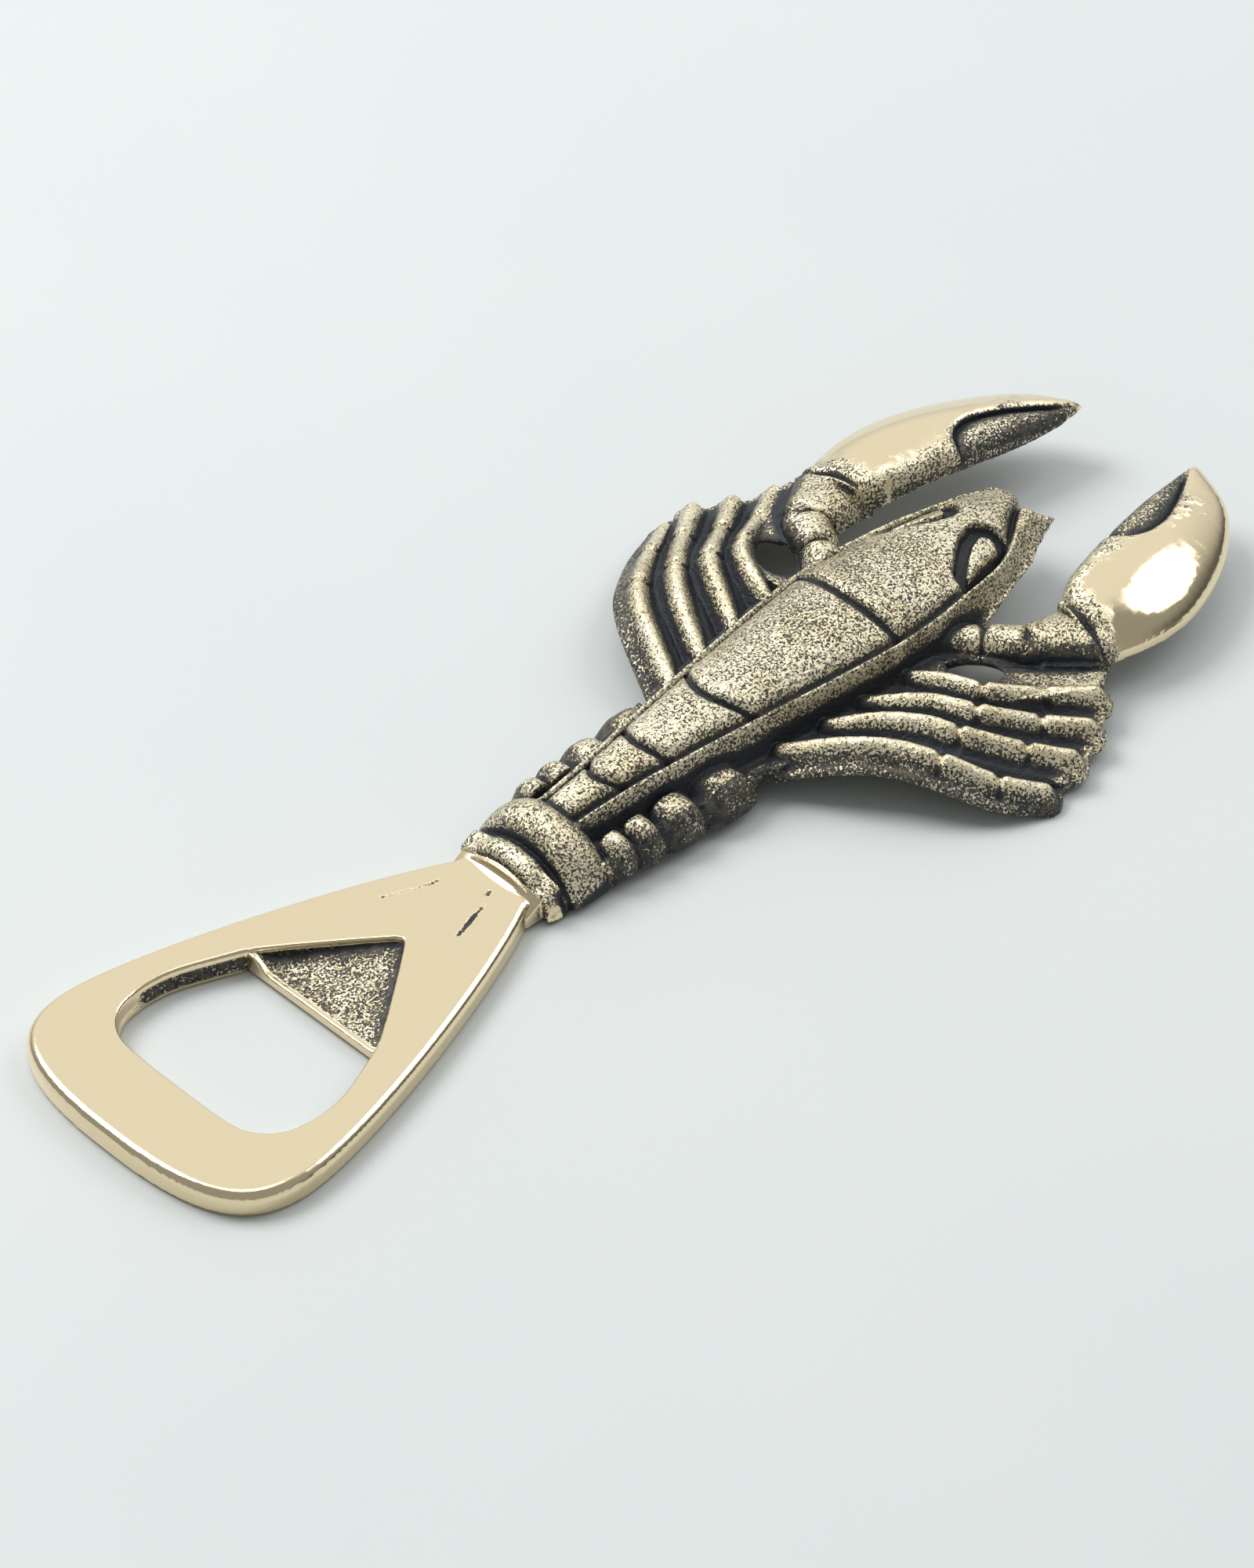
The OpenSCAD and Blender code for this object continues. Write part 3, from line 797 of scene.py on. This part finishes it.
def cut_piece(k):
    """The mesh of one claim: the casting in its cell, running a little way under its neighbours."""
    name, where, above = CLAIMS[k]
    near = body.outline[COARSE] > -VOXEL
    if name != "trunk":
        near &= where[COARSE] < OVERLAP + VOXEL
    rows, cols = np.flatnonzero(near.any(1)), np.flatnonzero(near.any(0))
    i0, i1 = max(rows[0] - 3, 0), min(rows[-1] + 4, near.shape[0])
    j0, j1 = max(cols[0] - 3, 0), min(cols[-1] + 4, near.shape[1])
    pick = (slice(FINER * i0, FINER * i1, FINER), slice(FINER * j0, FINER * j1, FINER))
    used = near[i0:i1, j0:j1]
    z0 = max(body.low[pick][used].min(), above[pick][used].min() - 1) - 3 * VOXEL
    z1 = body.top[pick][used].max() + 3 * VOXEL
    z = np.arange(z0, z1, VOXEL)[None, None, :]

    solid = np.maximum(
        (z - cube(body.top, pick)) / cube(STEEP_TOP, pick),
        (cube(body.low, pick) - z) / cube(STEEP_LOW, pick),
    )
    solid = np.maximum(solid, -cube(body.outline, pick))
    cell = np.maximum(cube(where, pick), cube(above, pick) - z)
    for _, other, other_above in CLAIMS[:k]:
        if (other[pick][used] < 1).any():
            taken = np.minimum(-cube(other, pick), z - cube(other_above, pick))
            cell = np.maximum(cell, taken)
    field = np.maximum(solid + SINK * np.maximum(0, cell), cell - OVERLAP)
    corner = (body.x[FINER * i0, 0], body.y[0, FINER * j0], z0)
    mesh, points = closed_mesh(name + "_cast", field, corner)

    px, py, pz = points.T
    above_foot = pz > body.at(body.low, px, py) + 0.3
    wall = step(0.7, 1.6, body.at(body.top, px, py) - pz) * above_foot
    patina = body.at(body.patina, px, py)
    buff = body.at(body.buff, px, py)
    patina = np.clip(patina + WALL_PATINA * wall * (1 - buff), *PATINA_RANGE)
    up = facing_up(mesh)
    paint(mesh, patina=patina * up + UNDER_PATINA * (1 - up), buff=buff * up)
    settle(name, mesh)


# ------------------------------------------------------------------ materials
def nodes_of(name):
    """A new material with its node tree and its shader."""
    mat = bpy.data.materials.new(name)
    mat.use_nodes = True
    tree = mat.node_tree
    return mat, tree, tree.nodes["Principled BSDF"]


def add(tree, kind, values=None, **settings):
    """A node with settings, and values or links for its inputs."""
    node = tree.nodes.new(kind)
    for key, value in settings.items():
        setattr(node, key, value)
    for key, value in (values or {}).items():
        if isinstance(value, bpy.types.NodeSocket):
            tree.links.new(value, node.inputs[key])
        else:
            node.inputs[key].default_value = value
    return node


def ramp(tree, value, low, high, to_low=0.0, to_high=1.0):
    """A smooth change from to_low to to_high while the value goes from low to high."""
    values = {0: value, 1: low, 2: high, 3: to_low, 4: to_high}
    return add(tree, "ShaderNodeMapRange", values, interpolation_type="SMOOTHSTEP").outputs[0]


def noise(tree, place, scale, detail=2.0, rough=0.55):
    """Noise from 0 to 1 with that many lumps per metre."""
    values = {"Vector": place, "Scale": scale, "Detail": detail, "Roughness": rough}
    return add(tree, "ShaderNodeTexNoise", values).outputs["Fac"]


def mix(tree, factor, a, b):
    """Colour a where the factor is 0 and b where it is 1."""
    return add(tree, "ShaderNodeMix", {0: factor, 6: a, 7: b}, data_type="RGBA").outputs[2]


def blend(tree, factor, a, b):
    """Value a where the factor is 0 and b where it is 1."""
    return add(tree, "ShaderNodeMix", {0: factor, 2: a, 3: b}, data_type="FLOAT").outputs[0]


def calc(tree, operation, a, b):
    """One step of arithmetic on two values."""
    return add(tree, "ShaderNodeMath", {0: a, 1: b}, operation=operation).outputs[0]


def plus(tree, a, b):
    """The sum of two values."""
    return calc(tree, "ADD", a, b)


def times(tree, a, b):
    """The product of two values."""
    return calc(tree, "MULTIPLY", a, b)


def swing(tree, value, size):
    """Noise made to swing about 0, that many times as wide."""
    return times(tree, calc(tree, "SUBTRACT", value, 0.5), size)


PALE_BRASS = (0.92, 0.83, 0.60, 1)
WARM_BRASS = (0.87, 0.75, 0.49, 1)
BUFFED_BRASS = (0.88, 0.74, 0.49, 1)
BLACK_PATINA = (0.022, 0.026, 0.032, 1)
BROWN_PATINA = (0.085, 0.075, 0.055, 1)
ANTIQUE_BASE = 0.45
BUFFED_CLEAR = 0.35
SAND_SWING = 2.9
SLOW_SWING = 0.35
DARK_RANGE = (0.34, 0.60)
PER_MM = 1000.0
BUMP_DEPTH = 0.24 * MM


def brass(name):
    """Cast brass: buffed where `buff` is 1, elsewhere sandy, with patina where `patina` is high."""
    mat, tree, shader = nodes_of(name)
    place = add(tree, "ShaderNodeTexCoord").outputs["Object"]
    patina = add(tree, "ShaderNodeAttribute", attribute_name="patina").outputs["Fac"]
    buff = add(tree, "ShaderNodeAttribute", attribute_name="buff").outputs["Fac"]
    sand = noise(tree, place, 3.0 * PER_MM, detail=3.0, rough=0.68)
    lumps = noise(tree, place, 0.9 * PER_MM)
    drift = noise(tree, place, 0.13 * PER_MM)
    unbuffed = calc(tree, "SUBTRACT", 1.0, buff)

    # Patina fills the hollows, and breaks up into grains towards the rubbed tops.
    ragged = plus(tree, swing(tree, sand, SAND_SWING), swing(tree, lumps, SLOW_SWING))
    ragged = plus(tree, ragged, swing(tree, drift, SLOW_SWING))
    ragged = times(tree, ragged, ramp(tree, patina, 0.75, 1.0, 1.0, 0.6))
    base = ramp(tree, buff, 0.2, 0.9, ANTIQUE_BASE, -BUFFED_CLEAR)
    dark = ramp(tree, plus(tree, plus(tree, patina, ragged), base), *DARK_RANGE)

    metal = mix(tree, ramp(tree, drift, 0.35, 0.7), PALE_BRASS, WARM_BRASS)
    metal = mix(tree, buff, metal, BUFFED_BRASS)
    stain = mix(tree, ramp(tree, lumps, 0.35, 0.65), BLACK_PATINA, BROWN_PATINA)
    stain = mix(tree, ramp(tree, patina, 0.5, 0.9), stain, BLACK_PATINA)
    tree.links.new(mix(tree, dark, metal, stain), shader.inputs["Base Color"])
    tree.links.new(ramp(tree, dark, 0, 1, 1.0, 0.35), shader.inputs["Metallic"])

    # The buffed faces keep fine wheel lines and a soft sheen.
    stretch = {"Vector": place, "Scale": (0.12, 1.0, 1.0)}
    lines = noise(tree, add(tree, "ShaderNodeMapping", stretch).outputs[0], 3.2 * PER_MM, detail=3.0)
    gloss = ramp(tree, lines, 0.3, 0.7, 0.07, 0.13)
    gloss = plus(tree, gloss, ramp(tree, drift, 0.3, 0.7, -0.02, 0.03))
    rough = plus(tree, ramp(tree, sand, 0.3, 0.7, 0.20, 0.34), times(tree, dark, 0.12))
    tree.links.new(blend(tree, buff, rough, gloss), shader.inputs["Roughness"])

    height = times(tree, plus(tree, sand, times(tree, lumps, 0.8)), unbuffed)
    height = calc(tree, "SUBTRACT", height, times(tree, times(tree, dark, unbuffed), 0.3))
    height = plus(tree, height, times(tree, lines, times(tree, buff, 0.05)))
    bump = add(tree, "ShaderNodeBump", {"Strength": 0.8, "Distance": BUMP_DEPTH, "Height": height})
    tree.links.new(bump.outputs[0], shader.inputs["Normal"])
    return mat


SLOTS = {part["node"]: part["material_slot"] for part in frame["record"]["subparts"]}
FINISH = {"antique_brass": brass("antique_cast_brass"), "polished_brass": brass("buffed_brass")}

STEEP_TOP, STEEP_LOW = steepness(body.top), steepness(body.low)
for k in range(len(CLAIMS)):
    cut_piece(k)

# ------------------------------------------------------------------ the opener plate and its tooth
PLATE_ROUND = 1.3
WIDE_X = -77.5
CUT_V = -20
MOUTH_LEDGE_Z = 1.2
MOUTH_LEDGE = 0.22
MOUTH = (
    (MOUTH_X, 0), (MOUTH_X, 7.5), (-78.0, 11.6), (-75.2, 14.6),
    (-71.0, 15.4), (-66.5, 15.0), (-62, 13.2),
)
RECESS = (
    (TOOTH_X - 0.5, TOOTH_HALF_W), (TOOTH_X + 1.5, TOOTH_HALF_W - 0.8),
    (RECESS_X - 0.6, 1.0), (RECESS_X, 0),
)
# Casting flaws near the neck, and how strong each is.
FLAWS = (
    (((-28.4, -0.3), (-33.0, -2.6), (-38.6, -4.4)), 1.0),
    (((-28.8, 4.0), (-34.0, 4.8), (-40.0, 7.2)), 0.5),
)
FLAW_DEPTH = 0.3
FLAW_PATINA = 0.95
DULL_PATINA = 0.34
# The tooth's height at the mouth and its rise to the tip of the recess, and how far its lip, the
# fillet along the recess and the nub at its left corner stand up.
TOOTH_Z, TOOTH_RISE = 1.25, 1.15
TOOTH_LIP, TOOTH_FILLET, TOOTH_NUB = 0.55, 0.5, 1.3

rows, cols = np.arange(-91.5, NECK_X + 1.5, CELL), np.arange(-23.0, 23.0, CELL)
plate = Plan(*np.meshgrid(rows, cols, indexing="ij"))
PX, PY = plate.x, plate.y
PV = np.abs(PY)
HEIGHTS = np.arange(-3 * VOXEL, PLATE_T + 1 + 3 * VOXEL, VOXEL)[None, None, :]
PLATE_CORNER = (PX[0, 0], PY[0, 0], HEIGHTS.min())

# Outlines of the plate, the mouth and the recess, each closed beyond the middle.
plate_side = np.vstack(
    [
        bezier((-HALF_LENGTH, 0), (-HALF_LENGTH, 16), (-86.5, WIDEST), (WIDE_X, WIDEST)),
        bezier((WIDE_X, WIDEST), (-68, WIDEST), (-40, 12.5), (NECK_X, NECK_HALF_W))[1:],
    ]
)
plate_end = [(NECK_X + 3, NECK_HALF_W), (NECK_X + 3, CUT_V), (-HALF_LENGTH, CUT_V)]
plate_d = inside(PX, PV, np.vstack([plate_side, plate_end]))
mouth_end = [(TOOTH_X, TOOTH_HALF_W), (TOOTH_X, CUT_V), (MOUTH_X, CUT_V)]
mouth_d = inside(PX, PV, np.vstack([smooth_line(MOUTH, 3), mouth_end]))
recess_end = [(RECESS_X, CUT_V), (TOOTH_X - 0.5, CUT_V)]
recess_d = inside(PX, PV, np.vstack([smooth_line(RECESS, 1), recess_end]))


def flaw_map():
    """How strong the casting flaws are over the plate, from 0 to 1."""
    broken = step(-0.1, 0.9, grain(PX, PY, size=1.6, seed=21) + 0.4)
    flaws = np.zeros(PX.shape)
    for line, strength in FLAWS:
        flaws = np.maximum(flaws, strength * broken * bell(to_line(PX, PY, line)[0], 0.38))
    return flaws


def make_plate():
    """The plate: rolled edge, mouth with a thin ledge at its foot, recess and flaws."""
    flaws = flaw_map()
    top = PLATE_T - rounded(plate_d, PLATE_ROUND) - rounded(-mouth_d, 0.45)
    top = top - rounded(-recess_d, 0.35) - FLAW_DEPTH * flaws
    low = rounded(plate_d, 0.6) + rounded(-mouth_d, 0.3)
    ledge = MOUTH_LEDGE * (1 - step(MOUTH_LEDGE_Z - 0.15, MOUTH_LEDGE_Z + 0.15, HEIGHTS))
    opening = np.maximum(cube(mouth_d) - ledge, cube(recess_d))
    field = np.maximum(HEIGHTS - cube(top), cube(low) - HEIGHTS)
    field = np.maximum(np.maximum(field, -cube(plate_d)), opening)
    field = np.maximum(field, cube(PX) - (NECK_X + 0.8))
    mesh, points = closed_mesh("opener_plate_cast", field, PLATE_CORNER)

    px, py, pz = points.T
    depth = plate.at(top, px, py) - pz
    in_recess = plate.at(recess_d, px, py) > -0.12
    in_mouth = (plate.at(mouth_d, px, py) > -0.35) & ~in_recess
    ledge_depth = PLATE_T - MOUTH_LEDGE_Z
    above_ledge = 1 - step(ledge_depth - 0.2, ledge_depth + 0.1, depth)
    rough_wall = in_mouth * step(-73, -70, px) * step(0.35, 0.7, depth) * above_ledge
    dull = np.maximum(rough_wall, in_recess * step(0.3, 0.6, depth))
    flawed = plate.at(np.clip(FLAW_PATINA * flaws, 0, 1), px, py) * facing_up(mesh)
    buff = np.clip(1 - flawed / FLAW_PATINA - dull, 0, 1)
    paint(mesh, patina=np.clip(flawed + DULL_PATINA * dull, 0, 1), buff=buff)
    settle("opener_plate", mesh)


def make_tooth():
    """The tooth: rising from its raised lip at the mouth to the tip of the recess."""
    run = PX - TOOTH_X
    along = np.clip(run / (RECESS_X - TOOTH_X), 0, 1)
    top = TOOTH_Z + TOOTH_RISE * along + TOOTH_LIP * fade(run, 0.9)
    top += TOOTH_FILLET * fade(recess_d, 0.35) + 0.05 * grain(PX, PY, size=0.6, seed=31)
    corner_nub = np.exp(-((run - 0.4) ** 2 + (PY - TOOTH_HALF_W + 1.1) ** 2) / 2.0)
    top += TOOTH_NUB * corner_nub
    top -= rounded(run, 0.35)
    low = 0.3 + rounded(run, 0.3)
    field = np.maximum(HEIGHTS - cube(top), cube(low) - HEIGHTS)
    field = np.maximum(field, -cube(np.minimum(recess_d + OVERLAP, run)))
    mesh, points = closed_mesh("cap_tooth_cast", field, PLATE_CORNER)

    px, py, _ = points.T
    back = step(0.5, 1.3, px - TOOTH_X)
    beside = fade(plate.at(recess_d, px, py), 0.7) * back
    patina = (0.9 * beside + 0.03) * (1 - plate.at(corner_nub, px, py))
    paint(mesh, patina=patina, buff=0.9 * (1 - back))
    settle("cap_tooth", mesh)


make_plate()
make_tooth()

# ------------------------------------------------------------------ floor, light and camera
FLOOR_SIZE = 3.0
FLOOR_DULL = (0.635, 0.665, 0.66, 1)
FLOOR_PALE = (0.655, 0.685, 0.678, 1)
FLOOR_ROUGH = 0.45

# Round soft lights aimed at the middle: place, size and power.
LIGHTS = {
    "key": ((-0.2, 0.68, 0.85), 0.66, 8.2),
    "right_box": ((0.72, -0.24, 0.69), 0.68, 2.6),
    "overhead": ((0.05, 0.15, 0.9), 0.5, 0.6),
}

# The room is grey, with a bright side one way and a dark low stretch another way.
BRIGHT_WAY = (0.53, 0.54, 0.65)
DARK_WAY = (0.93, -0.33, 0.15)
ROOM_GREY = (0.36, 0.37, 0.37, 1)
ROOM_DARK = (0.12, 0.12, 0.12, 1)
ROOM_BRIGHT = (1.0, 1.02, 1.03, 1)
ROOM_STRENGTH = 0.90

CAMERA_PLACE = (-0.3389, -0.3381, 0.4130)
CAMERA_AIM = (-0.0015, 0.0042, 0.0)
LENS, SENSOR = 117.0, 36.0


def place_at(name, data, place, aim):
    """A light or camera at its place, aimed at a point."""
    item = bpy.data.objects.new(name, data)
    bpy.context.collection.objects.link(item)
    item.location = place
    item.rotation_euler = (Vector(aim) - Vector(place)).to_track_quat("-Z", "Y").to_euler()
    return item


def pale_floor():
    """A matt, nearly white surface with a very faint drift in its tone."""
    mat, tree, shader = nodes_of("pale_floor")
    place = add(tree, "ShaderNodeTexCoord").outputs["Object"]
    drift = ramp(tree, noise(tree, place, 6.0, detail=3.0), 0.3, 0.7)
    tree.links.new(mix(tree, drift, FLOOR_DULL, FLOOR_PALE), shader.inputs["Base Color"])
    shader.inputs["Roughness"].default_value = FLOOR_ROUGH
    return mat


def make_floor():
    """A wide floor under the opener, which isn't part of it."""
    h = FLOOR_SIZE / 2
    mesh = bpy.data.meshes.new("floor")
    mesh.from_pydata([(-h, -h, 0), (h, -h, 0), (h, h, 0), (-h, h, 0)], [], [(0, 1, 2, 3)])
    mesh.materials.append(pale_floor())
    floor = bpy.data.objects.new("floor", mesh)
    bpy.context.collection.objects.link(floor)


def soft_light(name, place, size, power):
    """A round soft box aimed at the middle of the opener."""
    data = bpy.data.lights.new(name, "AREA")
    data.shape = "DISK"
    data.size = size
    data.energy = power
    place_at(name, data, place, (0, 0, 0))


def facing(tree, heading, way):
    """How far a heading points one way."""
    values = {0: heading, 1: way}
    return add(tree, "ShaderNodeVectorMath", values, operation="DOT_PRODUCT").outputs["Value"]


def make_room():
    """The room as the world: what the polished faces mirror."""
    world = bpy.data.worlds.new("studio")
    bpy.context.scene.world = world
    world.use_nodes = True
    tree = world.node_tree
    heading = add(tree, "ShaderNodeTexCoord").outputs["Generated"]
    up = add(tree, "ShaderNodeSeparateXYZ", {0: heading}).outputs["Z"]
    low_side = ramp(tree, facing(tree, heading, DARK_WAY), 0.5, 0.9)
    low_dark = times(tree, ramp(tree, up, 0.05, 0.5, 1.0, 0.0), low_side)
    room = mix(tree, low_dark, ROOM_GREY, ROOM_DARK)
    bright_side = ramp(tree, facing(tree, heading, BRIGHT_WAY), 0.50, 0.93)
    background = tree.nodes["Background"]
    tree.links.new(mix(tree, bright_side, room, ROOM_BRIGHT), background.inputs["Color"])
    background.inputs["Strength"].default_value = ROOM_STRENGTH


def make_camera():
    """A long lens from behind and above the handle, to its right."""
    data = bpy.data.cameras.new("camera")
    data.lens = LENS
    data.sensor_width = SENSOR
    bpy.context.scene.camera = place_at("camera", data, CAMERA_PLACE, CAMERA_AIM)


make_floor()
for name, (place, size, power) in LIGHTS.items():
    soft_light(name, place, size, power)
make_room()
make_camera()
bpy.context.scene.view_settings.view_transform = "Standard"
